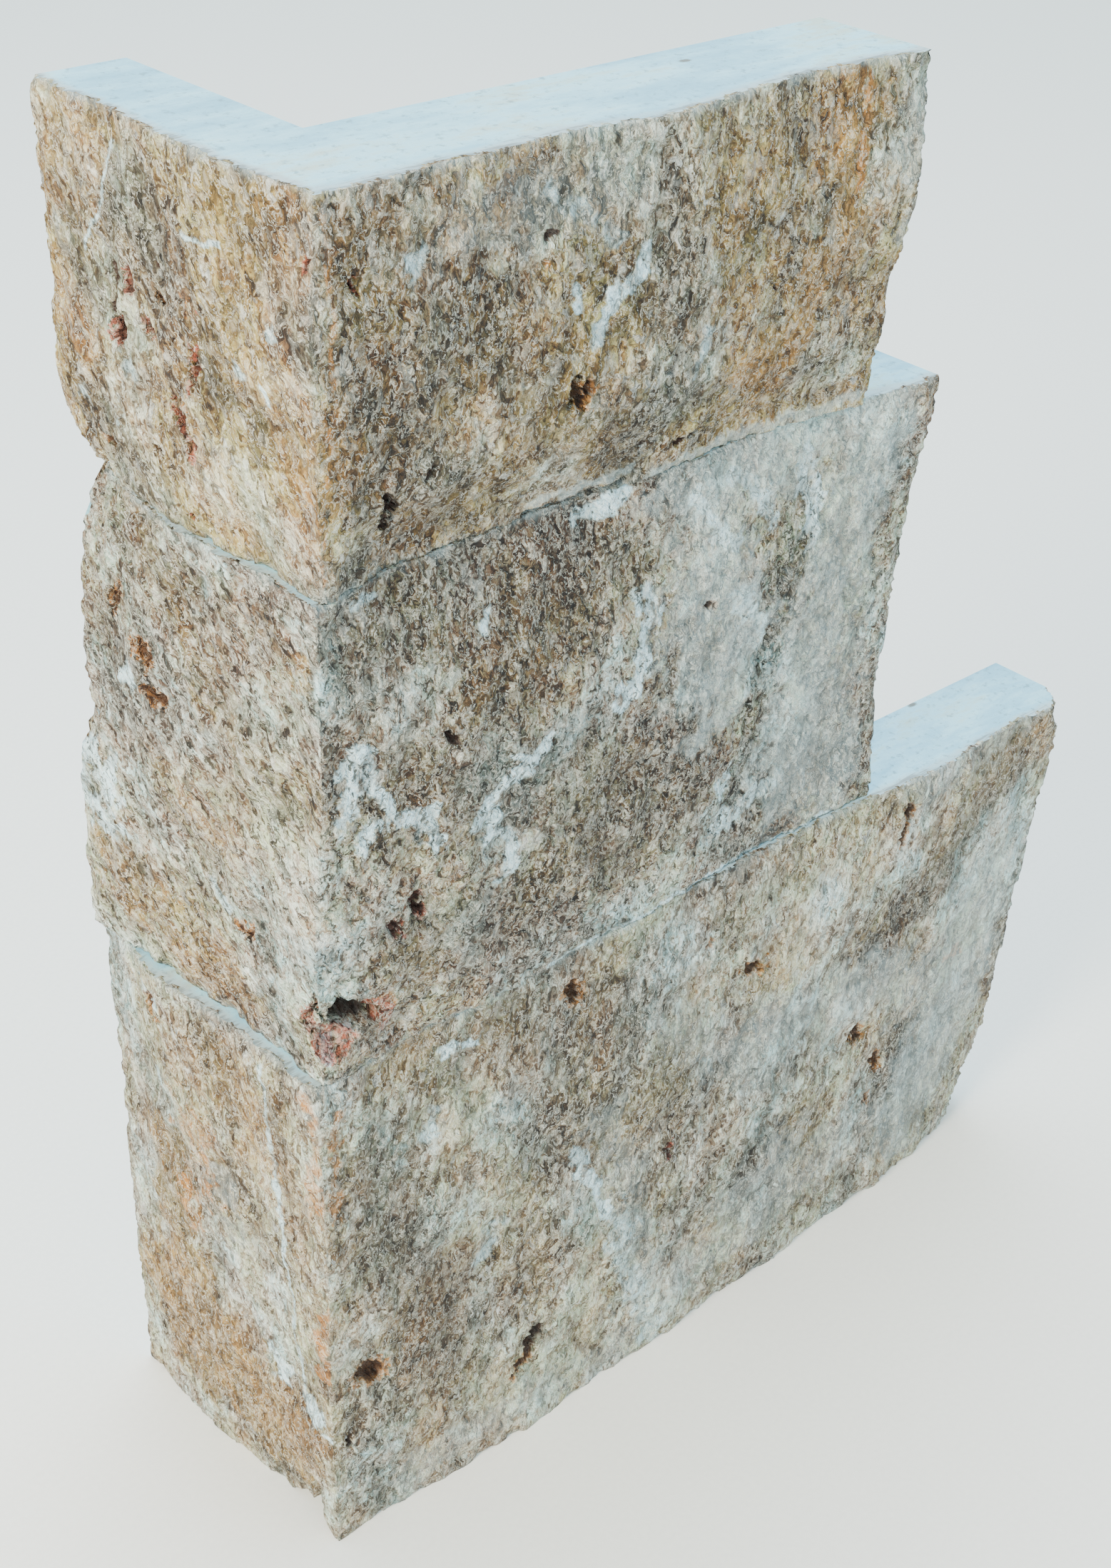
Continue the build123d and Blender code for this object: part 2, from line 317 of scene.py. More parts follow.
        ("L", "pink", 6, 0.6, [(1, 3.2), (24.3, 1.1)]),
        ("S", "ochre", 9, 0.8, [(22, 62.4), (20.2, 37.9), (6.9, 24.3), (-6.8, 18.1)]),
        ("S", "ochre", 9, 0.8, [(22.2, 15.6), (3.3, 14.8), (-6.5, 10.7)]),
        ("S", "ochre", 5, 0.45, [(9.1, 76.9), (4.7, 58.9)]),
        ("L", "pale", 4.5, 0.45, [(44.5, 63.9), (48.9, 47.1), (54.6, 30.2), (60.1, 3)]),
        ("L", "pale", 8, 0.5, [(76.8, 22.3), (95.2, 29.7)]),
        ("L", "pale", 9, 0.6, [(82.3, 61.8), (120.7, 54.7), (146, 40)]),
        ("L", "pale", 5, 0.5, [(1, 8.8), (24, 6.9), (52.5, 4.2)]),
        ("S", "umber", 4, 0.5, [(23.8, 79.7), (20.8, 60.7), (17.2, 44)]),
        ("S", "umber", 2, 0.6, [(-9.5, 95.1), (-10.5, 77.6), (-11.5, 55.8)]),
        ("S", "pale", 3, 0.5, [(6.5, 67.3), (3.6, 54)]),
        ("S", "ochre", 7, 0.8, [(17.7, 26.9), (8, 17), (-1.9, 12.9)]),
        ("S", "white", 0.5, 0.8,
         [(-7, 97.3), (-7.9, 83), (-9.6, 65.2), (-11.2, 47.7), (-12.4, 30)]),
        ("S", "white", 2.5, 1, [(-15.5, 30.6), (-16.9, 27.8)]),
        ("S", "white", 2.15, 1, [(-5, 34.5), (-6.7, 30.9)]),
        ("S", "rust", 1.72, 1.6, [(21.2, 93.2), (21.3, 91.2)]),
        ("S", "white", 1.53, 1, [(23.6, 94.6), (22.2, 93.5), (19, 94.2)]),
        ("S", "rust_stain", 5.93, 0.5, [(13.6, 74.5), (10.1, 70.9), (15.3, 55.1)]),
        ("S", "rust_stain", 2.69, 0.55, [(-17.9, 96.5), (-19.7, 88.2), (-17.4, 75.2)]),
        ("S", "rust_stain", 2.4, 0.7, [(-19.7, 54.4), (-18.4, 42.1)]),
        ("S", "umber", 2.03, 0.8, [(-17.7, 46.5), (-18.2, 37.1)]),
        ("S", "ochre", 13.6, 0.8, [(26.1, 27.3), (7.5, 24.5), (-8.2, 20)]),
        ("S", "ochre", 7.44, 0.65, [(1.3, 91), (-3.3, 77)]),
        ("S", "grey", 5.49, 0.45, [(28.3, 84.2), (28.4, 64.8), (23.3, 55.8)]),
        ("S", "ochre", 4.13, 0.4, [(1.2, 61.9), (0.2, 47)]),
        ("S", "white", 1.16, 0.6, [(22, 77.9), (21.6, 76.4)]),
        ("L", "rust", 2.31, 2.2, [(-8, 38.2), (-5.6, 37.3)]),
        ("L", "dark", 0.7, 1.4, [(-11.1, 24.7), (-10.9, 23.2)]),
        ("L", "dark", 1.83, 2.6, [(30.6, 22.7), (30.1, 20.6)]),
        ("L", "rust", 0.97, 1.2, [(29.5, 19.5), (27.3, 16.5), (25.7, 15.3)]),
        ("L", "rust", 1.8, 2, [(36.1, 93.6), (37.5, 91.8)]),
        ("L", "rust", 1.36, 1.5, [(77.6, 77.8), (81.7, 76.8)]),
        ("L", "rust", 0.69, 1, [(68.2, 87.3)]),
        ("L", "red", 0.96, 1.2, [(60.7, 47.7), (61.1, 45.8)]),
        ("L", "rust", 1.4, 1.8, [(117, 95.3), (117.1, 93.5)]),
        ("L", "rust", 0.81, 1.2, [(116.9, 92.7), (116.6, 87.1)]),
        ("L", "rust", 1.41, 1.6, [(121.9, 35.8), (122.8, 33.5)]),
        ("L", "rust", 1.56, 1.6, [(114, 45.7), (115.3, 43.3)]),
        ("L", "rust", 1.21, 1.2, [(121, 25.1)]),
        ("L", "rust_stain", 1.43, 0.9, [(140.9, 49.9), (146.1, 48.6)]),
        ("L", "white", 1.5, 1.0, [(37.7, 60.3), (39.9, 53.8), (43.4, 47.4), (46.6, 40.1)]),
        ("L", "white", 3.03, 0.42, [(47.5, 39.5), (54.9, 17.5), (63.6, -3.1)]),
        ("L", "white", 1.04, 0.9, [(8.7, 94), (12.7, 93.9), (15.9, 93.2)]),
        ("L", "white", 1.44, 0.5, [(7.3, 83.9), (5.9, 78.9)]),
        ("L", "white", 1.79, 0.45, [(20.3, 52.4), (17.4, 47.7)]),
        ("L", "pale", 15.03, 0.75, [(151.1, 61), (144.9, 34.3), (136.2, 14.7)]),
        ("L", "pale", 9.35, 0.5, [(113.4, 19.7), (89.6, 14.7), (70.5, 11.4)]),
        ("L", "pale", 6.83, 0.45, [(59.1, 76.4), (71.3, 62.5), (87.8, 50.9)]),
        ("L", "pale", 6.28, 0.5, [(148.1, 101.6), (136.1, 100.1), (120.5, 98.6)]),
        ("L", "umber", 7.36, 0.75, [(148.9, 91.5), (126.5, 73.7), (115.9, 57.9)]),
        ("L", "umber", 6.32, 0.4, [(23.2, 86.9), (43.6, 64.4), (41.5, 49.6)]),
        ("L", "umber", 5.18, 0.45, [(84.2, 94.4), (70.7, 91.6), (86.9, 78.4)]),
        ("L", "umber", 4.67, 0.4, [(0.2, 87.7), (6.3, 63.8), (0.6, 48.5)]),
        ("L", "ochre", 8.75, 0.5, [(-5.3, 79.4), (0.7, 35.3), (7.4, 7.7)]),
        ("L", "ochre", 7.89, 0.4, [(32.3, 38.5), (49.3, 38.4)]),
        ("L", "ochre", 5.11, 0.4, [(61.7, 82.6), (84.3, 71.9)]),
        ("L", "rust_stain", 1.44, 0.6, [(-12.5, 94.5), (-12.1, 83.2), (-12.7, 75)]),
        ("L", "grey", 6.94, 0.5, [(50.2, 96.5), (48.9, 78.4), (65.4, 52.7)]),
        ("L", "grey", 8.44, 0.5, [(75.2, 33.8), (61.5, 24.2), (31.7, 48.9)]),
    ),
}

# What the marks become: the attribute that the surface reads, and how deep a pit they dig. The
# dark lining of dark and grey pits is painted shade.
PIT_KINDS = {"red": "red", "rust": "rust", "dark": "dark", "grey_pit": "dark"}
STAIN_KINDS = {"white": "calcite", "rust_stain": "rust", "red_stain": "red"}
TONES = ("ochre", "umber", "grey", "pink", "pale")
STAINS = ("calcite", "rust", "red", "dark")

# Hollows and missing lumps: centre and half sizes in millimetres, tilt about Y in degrees, the
# point outside the stone that each one opens towards, how deep the shade painted inside it is,
# and how red it is inside.
HOLLOWS = {
    "bottom_course_stone": (
        ((-14.0, -14.1, 0.0), (8.0, 2.1, 10.5), 0.0, (-60, -16, -30), 0.0, 0.0),
        ((-14.0, -10.6, -1.0), (7.0, 4.6, 4.4), 0.0, (-60, -14, -30), 0.0, 0.0),
    ),
    "middle_course_stone": (
        ((-8.7, -19.6, 111.2), (5.4, 5.0, 2.7), 31.0, (-12, -60, 116), 0.75, 0.45),
        ((-13.6, -20.6, 108.0), (5.2, 3.6, 3.6), 20.0, (-36, -48, 124), 0.0, 0.9),
        ((-17.3, 37.4, 139.9), (4.0, 8.5, 8.8), 0.0, (-44, 62, 140), 0.0, 0.0),
    ),
    "top_course_stone": (((-15, 5, 188), (3.0, 1.1, 2.4), 0.0, (-60, 5, 188), 1.0, 0.8),),
}

# How the grains lie: turn about X, in radians, of the line they are drawn out along.
LIE = {"bottom_course_stone": -0.25, "middle_course_stone": -0.95, "top_course_stone": -0.6}

# Where the speckle's tone takes each of a course's five grain colours, from clay to calcite.
GRAIN_STOPS = (0.2, 0.36, 0.5, 0.62, 0.8)


def linear(colour):
    """An sRGB hex colour as linear red, green, blue and alpha."""
    parts = [int(colour[i : i + 2], 16) / 255 for i in (1, 3, 5)]
    straight = [p / 12.92 if p <= 0.04045 else ((p + 0.055) / 1.055) ** 2.4 for p in parts]
    return (*straight, 1.0)


def length(name, description, size):
    """A size that the user can change, given in millimetres."""
    return FloatProperty(name=name, description=description, default=size * MM, unit="LENGTH")


def tint(name, description, shade):
    """A colour that the user can change."""
    settings = {"subtype": "COLOR", "size": 4, "min": 0, "max": 1, "default": linear(shade)}
    return FloatVectorProperty(name=name, description=description, **settings)


class SplitFaceSettings(bpy.types.PropertyGroup):
    """Sizes of the relief that splitting leaves."""

    swell_size: length("Swell size", "Width of the broad swells of a split face", 20)
    swell_height: length("Swell height", "Height of the broad swells", 0.8)
    flake_size: length("Flake size", "Width of the thin flakes left standing by the split", 6.5)
    flake_height: length("Flake height", "Step from one flake to the next", 0.36)
    grain_size: length("Grain size", "Width of the crystalline grains", 1.5)
    grain_height: length("Grain height", "How far the grains stand up", 0.11)
    edge_wear: length("Edge wear", "Stone lost along the sawn edges", 0.42)


class TravertineColours(bpy.types.PropertyGroup):
    """Colours of the stone and of what stains it."""

    # its default blue is a painted reflection of the sky
    sawn: tint("Sawn face", "Sawn travertine in cool daylight", "#98CEE2")
    calcite: tint("Calcite", "White calcite that fills veins and patches", "#D3EEF8")
    rust: tint("Iron stain", "Orange stain of iron oxide", "#B5742C")
    red: tint("Red lining", "Brick-red clay that lines the pits", "#BA5A44")


class StageSettings(bpy.types.PropertyGroup):
    """Floor and light of the stage."""

    floor_size: length("Floor size", "Side of the square floor", 6000)
    top_power: FloatProperty(
        name="Top light",
        description="Power of the soft light overhead, in watts",
        default=8.0,
    )
    side_power: FloatProperty(
        name="Side light",
        description="Power of the soft light on the short legs, in watts",
        default=19.0,
    )
    sky_strength: FloatProperty(
        name="Sky",
        description="Strength of the pale blue surroundings",
        default=1.95,
    )


def stone_noise(points, size, octaves=4, roughness=0.55, seed=0.0):
    """Fractal noise about zero at points in millimetres. The size may differ along X, Y and Z."""
    places = points / np.asarray(size, float) + np.array((seed, 1.7 * seed, -2.3 * seed))
    return np.array([noise.fractal(p, 1 - roughness, 2.0, octaves) for p in places.tolist()])


def smooth(low, high, values):
    """Zero below low, one above high, and a smooth rise between."""
    t = np.clip((values - low) / (high - low), 0, 1)
    return t * t * (3 - 2 * t)


def table_depth(rows, shares, along, up):
    """Depth of stone at a share along the face and a share up it."""
    rows = np.array(rows)
    level = np.clip(np.searchsorted(LEVEL_SHARES, up, side="right") - 1, 0, len(LEVEL_SHARES) - 2)
    step = np.clip(np.searchsorted(shares, along, side="right") - 1, 0, len(shares) - 2)
    levels, shares = np.array(LEVEL_SHARES), np.array(shares)
    v = smooth(0, 1, (up - levels[level]) / (levels[level + 1] - levels[level]))
    u = smooth(0, 1, (along - shares[step]) / (shares[step + 1] - shares[step]))
    low = rows[level, step] * (1 - u) + rows[level, step + 1] * u
    high = rows[level + 1, step] * (1 - u) + rows[level + 1, step + 1] * u
    return low * (1 - v) + high * v


def sawn_blank(low, high, cuts):
    """L-shaped blank with its back on the sawn planes, cut finely where relief comes."""
    bm = bmesh.new()
    out = -BLANK_DEPTH
    plan = ((0, 0), (high[0], 0), (high[0], out), (out, out), (out, high[1]), (0, high[1]))
    bed = bm.faces.new([bm.verts.new((x, y, low[2])) for x, y in plan])
    grown = bmesh.ops.extrude_face_region(bm, geom=[bed], use_keep_orig=True)["geom"]
    top = [v for v in grown if isinstance(v, bmesh.types.BMVert)]
    bmesh.ops.translate(bm, vec=(0, 0, high[2] - low[2]), verts=top)
    runs = (((out, 0), (0, high[0])), ((out, 0), (0, high[1])), ((low[2], high[2]),))
    for axis, stops in enumerate(runs):
        across = Vector((0, 0, 0))
        across[axis] = 1
        for start, end in stops:
            count = max(1, round((end - start) / CELL))
            places = [start + (end - start) * i / count for i in range(count + 1)]
            for place in places:
                if stops[0][0] + HAIR < place < high[axis] - HAIR:
                    cut = {"dist": 1e-4, "plane_co": across * place, "plane_no": across}
                    whole = bm.verts[:] + bm.edges[:] + bm.faces[:]
                    bmesh.ops.bisect_plane(bm, geom=whole, **cut)
    sides = ((0, out), (1, out), (2, high[2]))
    fine = [
        edge
        for edge in bm.edges
        if any(all(abs(v.co[axis] - side) < HAIR for v in edge.verts) for axis, side in sides)
    ]
    bmesh.ops.subdivide_edges(bm, edges=fine, cuts=cuts, use_grid_fill=True)
    bmesh.ops.recalc_face_normals(bm, faces=bm.faces)
    return bm


def polyline_distance(places, line):
    """Distance of each place to a line of points, both in the face's plane."""
    nearest = np.full(len(places), np.inf)
    line = np.array(line, float)
    if len(line) == 1:
        line = np.vstack([line, line])
    for a, b in zip(line[:-1], line[1:]):
        run = b - a
        share = np.clip(((places - a) @ run) / max(run @ run, 1e-9), 0, 1)
        nearest = np.minimum(nearest, np.linalg.norm(places - a - share[:, None] * run, axis=1))
    return nearest


def face_marks(name, face, places):
    """How strong each mark is at places on one face, and how deep its pits and creases go."""
    marks = {kind: np.zeros(len(places)) for kind in (*TONES, *STAINS, "pit")}
    dug = np.zeros(len(places))
    flat = places[:, (0, 2) if face == "L" else (1, 2)]
    wide = np.column_stack([stone_noise(places, 5.0, 3, 0.6, seed) for seed in (31.0, 38.0)])
    fine = np.column_stack([stone_noise(places, 1.5, 3, 0.65, seed) for seed in (51.0, 58.0)])
    for row_face, kind, radius, amount, line in MARKS[name]:
        if row_face != face:
            continue
        if kind in PIT_KINDS:
            # a pit too narrow for the mesh is dug wider and less deep
            reach = max(radius, NARROWEST_PIT)
            bent = flat + min(reach, 1.2) * (0.45 * wide + 1.1 * fine)
            apart = polyline_distance(bent, line) / reach
            dug = np.maximum(dug, amount * (radius / reach) * (1 - smooth(0.45, 1.1, apart)))
            # the pit mark sets where shade is painted in the pit's mouth
            marks["pit"] = np.maximum(marks["pit"], np.clip(1 - apart / 2, 0, 1))
            lining = marks[PIT_KINDS[kind]]
            np.maximum(lining, 1 - smooth(0.8, 1.7, apart), out=lining)
        elif kind == "crease":
            apart = polyline_distance(flat + 0.3 * wide, line) / radius
            # a crease is dug into the mesh, and painted shade darkens it through the umber tone
            dug += amount * (1 - smooth(0.0, 1.4, apart))
            np.maximum(marks["umber"], 0.5 * (1 - smooth(0.4, 2.0, apart)), out=marks["umber"])
        else:
            bent = flat + min(radius * 0.9, 4.0) * (1.3 * wide + 0.4 * fine)
            apart = polyline_distance(bent, line) / radius
            tone = marks[STAIN_KINDS.get(kind, kind)]
            np.maximum(tone, amount * (1 - smooth(0.35, 1.35, apart)), out=tone)
    return marks, dug


def split_relief(places, lie, to_bed, to_end, to_arris, settings):
    """How high the broken surface stands over the solid's, how hollow it is, where shade is
    painted in the low spots, and how bruised it is.
    """
    flake = settings.flake_size / MM
    grain = settings.grain_size / MM
    lean = places @ np.array(Matrix.Rotation(lie, 3, "X"))
    swell = stone_noise(places, settings.swell_size / MM, 4, 0.5, 3.1) * settings.swell_height / MM
    body = stone_noise(lean, (flake, flake, flake * 1.5), 5, 0.62, 11.3)
    # flakes are terraces: level treads with a steep riser between
    terraces = 4.0
    steps = body * terraces
    ledge = np.floor(steps) + smooth(0.6, 0.98, steps - np.floor(steps))
    flakes = (0.6 * ledge / terraces + 0.4 * body) * settings.flake_height / MM
    rough = np.abs(stone_noise(lean, (grain, grain, grain * 1.5), 3, 0.6, 5.9))
    grains = (0.3 - rough) * settings.grain_height / MM * 2
    # relief fades towards the outer corner, the sawn end and the beds, and these edges are worn
    straight = (0.35 + 0.65 * smooth(0, 5, to_arris)) * (0.3 + 0.7 * smooth(0, 3, to_end))
    cut = 0.45 + 0.55 * smooth(0, 2.5, to_bed)
    fray = smooth(-0.25, 0.5, stone_noise(places, 4.5, 4, 0.6, 21.0))
    near_edge = np.exp(-to_bed / 0.8) + 0.8 * np.exp(-to_end / 1.0) + 0.7 * np.exp(-to_arris / 0.9)
    lost = settings.edge_wear / MM * (0.2 + 1.5 * fray) * near_edge
    height = (swell + (flakes + grains) * cut) * straight - lost
    bruise = (0.35 + 0.65 * fray) * (np.exp(-to_bed / 0.9) + 0.6 * np.exp(-to_arris / 0.7))
    # the hollow value marks the low spots between flakes and grains, where shade is painted
    return height, smooth(-0.25, 0.25, -(flakes + grains)), np.clip(bruise, 0, 1)


def dig_hollows(name, points, marks):
    """Pushes the surface out along rays from each hollow's mouth to its far wall."""
    moved = np.zeros(len(points), bool)
    for centre, half, tilt, mouth, inside_shade, redness in HOLLOWS[name]:
        turn = np.array(Matrix.Rotation(math.radians(tilt), 3, "Y"))
        here = (points - centre) @ turn / half
        eye = (np.array(mouth) - centre) @ turn / half
        # in half sizes: the hollow's stain ends before 1.6
        near = np.flatnonzero(np.linalg.norm(here, axis=1) < 1.6)
        # a stained hollow is knobbly, and a plain scoop is even
        knobs = 0.3 if redness else 0.08
        size = 1 + knobs * stone_noise(points[near], 2.6, 3, 0.65, 91.0)
        ray = here[near] - eye
        ray /= np.linalg.norm(ray, axis=1)[:, None]
        middle = -(ray @ eye)
        reach = size**2 - (eye @ eye - middle**2)
        leave = middle + np.sqrt(np.clip(reach, 0, None))
        from_middle = np.linalg.norm(here[near], axis=1) / size
        inside = (from_middle < 1) & (reach > 0)
        landed = ((eye + leave[:, None] * ray) * half) @ turn.T + centre
        points[near[inside]] = landed[inside]
        moved[near[inside]] = True
        red = redness * (1 - smooth(0.85, 1.3, from_middle))
        # the inside of a hollow is darkened with painted shade, through the pit mark
        dark = 0.95 * inside_shade * (1 - smooth(0.5, 1.15, from_middle))
        marks["red"][near] = np.maximum(marks["red"][near], red)
        marks["pit"][near] = np.maximum(marks["pit"][near], dark)
    return moved


def break_corners(name, points):
    """Lays what stood in front of each break back onto its rough plane."""
    moved = np.zeros(len(points), bool)
    for row in BREAKS[name]:
        a, b, c, inside = (np.array(corner, float) for corner in row)
        normal = np.cross(b - a, c - a)
        normal /= np.linalg.norm(normal)
        if (inside - a) @ normal > 0:
            normal = -normal
        gone = (points - a) @ normal
        rough = np.zeros(len(points))
        # the plane's own roughness reaches less than 1.5 mm into the stone
        touched = gone > -1.5
        rough[touched] = 0.9 * stone_noise(points[touched], 4.0, 5, 0.6, 71.0) - 0.2
        lost = np.clip(gone - rough, 0, None)
        points -= lost[:, None] * normal
        moved |= lost > 0.05
    return moved


def shape_stone(name, bm, low, high, settings):
    """Moves the blank's vertices onto the split faces and returns the surface's marks."""
    flat = np.array([v.co[:] for v in bm.verts])
    up = (flat[:, 2] - low[2]) / (high[2] - low[2])
    over_x = np.clip(-flat[:, 0] / BLANK_DEPTH, 0, 1)
    over_y = np.clip(-flat[:, 1] / BLANK_DEPTH, 0, 1)
    nowhere = np.zeros(len(flat))
    corner_long = table_depth(LONG_DEPTHS[name], LONG_SHARES, nowhere, up)
    corner_short = table_depth(SHORT_DEPTHS[name], SHORT_SHARES, nowhere, up)
    real_x = np.where(flat[:, 0] > 0, flat[:, 0], -over_x * corner_short)
    real_y = np.where(flat[:, 1] > 0, flat[:, 1], -over_y * corner_long)
    along_x = (real_x + corner_short) / (high[0] + corner_short)
    along_y = (real_y + corner_long) / (high[1] + corner_long)
    long_depth = table_depth(LONG_DEPTHS[name], LONG_SHARES, along_x, up)
    short_depth = table_depth(SHORT_DEPTHS[name], SHORT_SHARES, along_y, up)
    points = flat.copy()
    points[:, 0] = np.where(flat[:, 0] > 0, flat[:, 0], -over_x * short_depth)
    points[:, 1] = np.where(flat[:, 1] > 0, flat[:, 1], -over_y * long_depth)

    marks = {kind: np.zeros(len(flat)) for kind in (*TONES, *STAINS, "pit", "hollow")}
    shift = np.zeros(flat.shape)
    top_bed = flat[:, 2] > high[2] - HAIR
    outermost = 1 - HAIR / BLANK_DEPTH
    sides = (
        ("L", 1, over_y, long_depth, real_x + corner_short, high[0] - flat[:, 0]),
        ("S", 0, over_x, short_depth, real_y + corner_long, high[1] - flat[:, 1]),
    )
    for face, axis, over, thick, to_arris, to_end in sides:
        # the top bed's rim follows the face below it
        here = np.flatnonzero((over > outermost) | (top_bed & (over > 0.4)))
        places = points[here].copy()
        places[:, axis] = -thick[here]
        to_bed = np.minimum(flat[here, 2] - low[2], high[2] - flat[here, 2])
        height, hollow, bruise = split_relief(
            places, LIE[name], to_bed, to_end[here], to_arris[here], settings
        )
        found, dug = face_marks(name, face, places)
        np.maximum(found["pale"], bruise, out=found["pale"])
        shift[here, axis] = -(height - dug) * over[here] ** 5
        on_face = over[here] > outermost
        for kind, values in (*found.items(), ("hollow", hollow)):
            kept = marks[kind]
            kept[here[on_face]] = np.maximum(kept[here[on_face]], values[on_face])
    points += shift
    marks["rim"] = top_bed * smooth(0.7, 1.0, np.maximum(over_x, over_y))
    broken = dig_hollows(name, points, marks) | break_corners(name, points)
    for vert, point in zip(bm.verts, points.tolist()):
        vert.co = point
    return marks, broken


def make_stone(context, name, cuts, split_material, sawn_material):
    """One course: blank, split faces, marks and both finishes. It stands for its CAD node."""
    settings = context.scene.cladding_split
    low, high = (np.array(corner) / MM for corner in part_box(name))
    bm = sawn_blank(low, high, cuts)
    centres = np.array([face.calc_center_median()[:] for face in bm.faces])
    inset = np.minimum(centres[:, 0], centres[:, 1]) + BLANK_DEPTH
    # splitting also frays a ragged strip of the top bed along the face
    frayed = np.maximum(0.5 + 1.1 * stone_noise(centres, 3.0, 3, 0.6, 61.0), HAIR)
    strip = np.where(centres[:, 2] > high[2] - HAIR, frayed, HAIR)
    for face, apart, width in zip(bm.faces, inset.tolist(), strip.tolist()):
        face.material_index = 0 if apart < width else 1
        face.smooth = apart < HAIR
    bm.verts.index_update()
    marks, broken = shape_stone(name, bm, low, high, settings)
    # what broke away from a sawn face shows the split finish, by whole cells where it is coarse
    for face in bm.faces:
        gone = sum(bool(broken[v.index]) for v in face.verts)
        if gone > 1 and (gone == len(face.verts) or face.calc_area() < FINE_AREA):
            face.material_index = 0
    loose = [e for e in bm.edges if len(e.link_faces) != 2]
    if loose:
        raise RuntimeError(f"{name} isn't closed: {len(loose)} edges have no second face")
    bmesh.ops.scale(bm, vec=(MM, MM, MM), verts=bm.verts)
    bmesh.ops.recalc_face_normals(bm, faces=bm.faces)
    mesh = bpy.data.meshes.new(f"{name}_look")
    bm.to_mesh(mesh)
    bm.free()
    for kind, values in marks.items():
        layer = mesh.attributes.new(name=kind, type="FLOAT", domain="POINT")
        layer.data.foreach_set("value", values.astype(np.float32))
    mesh.materials.append(split_material)
    mesh.materials.append(sawn_material)
    piece = bpy.data.objects.new(f"{name}_split", mesh)
    context.scene.collection.objects.link(piece)
    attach(piece, "root")
    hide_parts(name)
    return piece


def add_node(tree, name, kind, inputs=None, stops=None, **settings):
    """Adds a named node with its settings. An input given as text is linked to the node of that
    name, with .Output where it isn't the first output in use."""
    node = tree.nodes.new(kind)
    node.name = name
    for key, value in settings.items():
        setattr(node, key, value)
    for socket, value in (inputs or {}).items():
        if isinstance(value, str):
            source, _, output = value.partition(".")
            outputs = tree.nodes[source].outputs
            link = outputs[output] if output else next(o for o in outputs if o.enabled)
            tree.links.new(link, node.inputs[socket])
        else:
            node.inputs[socket].default_value = value
    if stops:
        ramp = node.color_ramp.elements
        while len(ramp) < len(stops):
            ramp.new(0.5)
        for element, (place, shade) in zip(ramp, stops):
            element.position = place
            element.color = shade if len(shade) == 4 else linear(shade)


def bare_material(name):
    """A new material with an empty node tree."""
    material = bpy.data.materials.new(name)
    material.use_nodes = True
    material.node_tree.nodes.clear()
    return material, material.node_tree


def lay_coats(tree, colour, coats):
    """Lays colours one over another, each by its source's rise from start to end, and returns the
    name of the last. A row is source, start, end, strength, colour and how it blends."""
    for number, (source, start, end, strength, shade, blend) in enumerate(coats):
        cover, coat = f"cover_{number}", f"coat_{number}"
        rise = {"Value": source, "From Min": start, "From Max": end, "To Max": strength}
        add_node(tree, cover, "ShaderNodeMapRange", rise, interpolation_type="SMOOTHSTEP")
        over = {0: cover, 6: colour, 7: linear(shade) if isinstance(shade, str) else tuple(shade)}
        add_node(tree, coat, "ShaderNodeMix", over, data_type="RGBA", blend_type=blend)
        colour = coat
    return colour


def close_finish(tree, colour, heights, strength, distance, roughness):
    """Adds up three heights for the bump, and ends the finish with its shader."""
    for number, (value, factor, plus) in enumerate(heights):
        risen = {0: value, 1: factor, 2: plus}
        add_node(tree, f"rise_{number}", "ShaderNodeMath", risen, operation="MULTIPLY_ADD")
    felt = {"Strength": strength, "Distance": distance, "Height": "rise_2"}
    add_node(tree, "bump", "ShaderNodeBump", felt)
    shade = {"Base Color": colour, "Roughness": roughness, "IOR": 1.5, "Normal": "bump"}
    add_node(tree, "stone", "ShaderNodeBsdfPrincipled", shade)
    add_node(tree, "output", "ShaderNodeOutputMaterial", {"Surface": "stone"})
